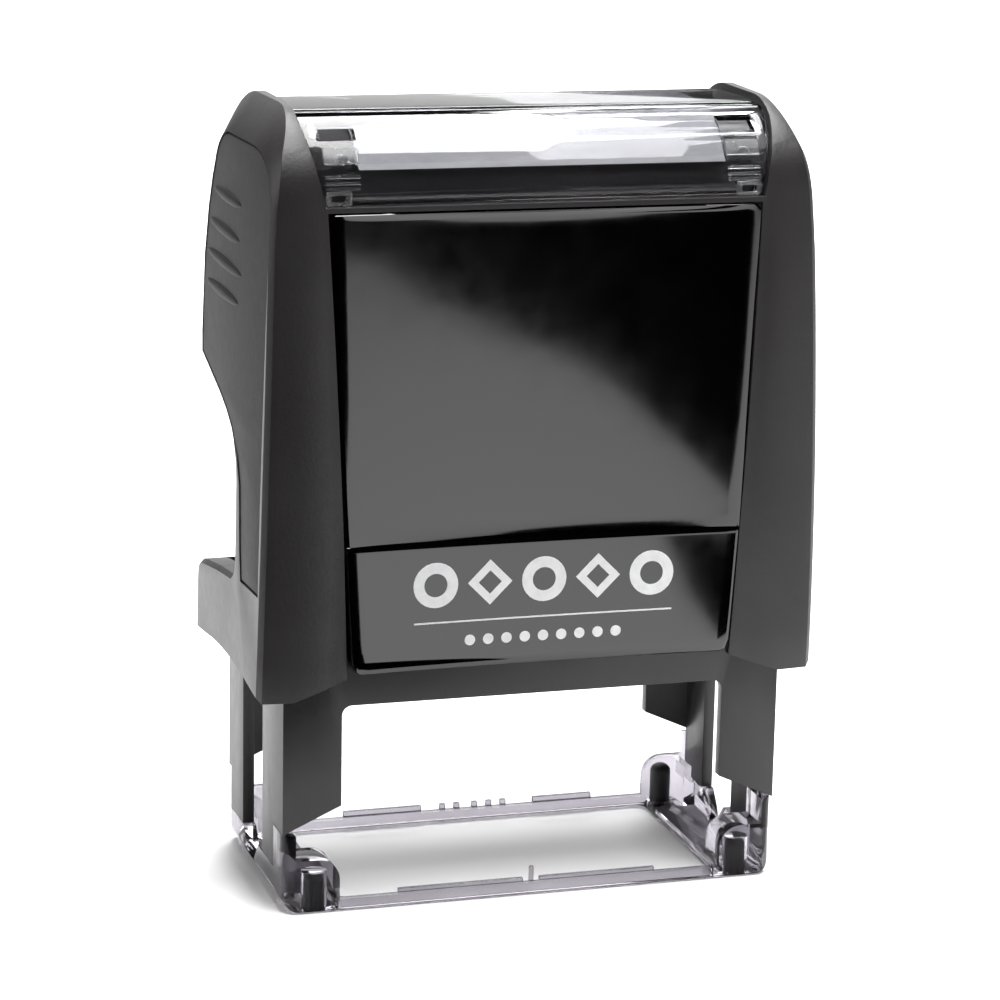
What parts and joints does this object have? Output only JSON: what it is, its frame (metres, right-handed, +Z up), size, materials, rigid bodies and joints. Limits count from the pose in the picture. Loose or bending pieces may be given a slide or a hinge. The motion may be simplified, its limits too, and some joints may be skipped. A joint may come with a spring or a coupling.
{
  "type": "self-inking stamp",
  "caption": "Self-inking rubber stamp: a sprung cap slides down a two-legged frame and turns the inked platen over onto the paper.",
  "frame": {"origin": "on the table, under the middle of the stamp's bounding box", "axes": "+X to the right, -Y towards the glossy front panel, +Z up"},
  "size_m": [0.058, 0.0288, 0.0802],
  "materials": {
    "smoked_clear": "smoked clear plastic, polished",
    "black_frame": "fine matte moulded",
    "black_cap": "fine matte moulded",
    "gloss_black": "high gloss",
    "clear_cover": "clear plastic, polished",
    "card": "printed card",
    "soft_grip": "soft touch",
    "plug_rubber": "matte rubber",
    "pad_felt": "ink-soaked woven cover",
    "pin_plastic": "natural acetal",
    "button_plastic": "satin",
    "spring_steel": "drawn wire",
    "foam": "closed-cell foam",
    "die_rubber": "laser-engraved rubber"
  },
  "bodies": {
    "frame": {"foot": "smoked_clear", "inner_frame": "black_frame", "foot_plug_front_left": "plug_rubber", "foot_plug_front_right": "plug_rubber", "foot_plug_rear_left": "plug_rubber", "foot_plug_rear_right": "plug_rubber", "return_spring": "spring_steel"},
    "cartridge": {"cartridge_tray": "black_frame", "ink_pad": "pad_felt"},
    "cap": {"cap_housing": "black_cap", "front_panel": "gloss_black", "rear_panel": "gloss_black", "clear_cover": "clear_cover", "index_card": "card", "left_grip": "soft_grip", "right_grip": "soft_grip", "carrier_bow": "black_frame", "left_axle_pin": "pin_plastic", "right_axle_pin": "pin_plastic"},
    "lock_button": {"lock_button": "button_plastic"},
    "platen": {"platen": "black_frame", "die_foam": "foam", "rubber_die": "die_rubber"}
  },
  "joints": [
    {"name": "cap_press", "type": "slide", "parent": "frame", "child": "cap", "axis": [0, 0, -1], "range_m": [0, 0.0205], "stiffness_N_per_m": 250, "springref_m": -0.012, "deforming": ["return_spring"]},
    {"name": "platen_flip", "type": "hinge", "parent": "cap", "child": "platen", "pos_m": [0, 0, 0.0256], "axis": [1, 0, 0], "range_deg": [0, 180]},
    {"name": "cartridge_slide", "type": "slide", "parent": "frame", "child": "cartridge", "axis": [0, 1, 0], "range_m": [0, 0.023]},
    {"name": "lock_button_press", "type": "slide", "parent": "cap", "child": "lock_button", "axis": [0, -1, 0], "range_m": [0, 0.0012], "stiffness_N_per_m": 600, "springref_m": -0.0005}
  ],
  "couplings": [
    {"joint": "platen_flip", "follows": "cap_press", "rad_per_m": 153.24}
  ]
}
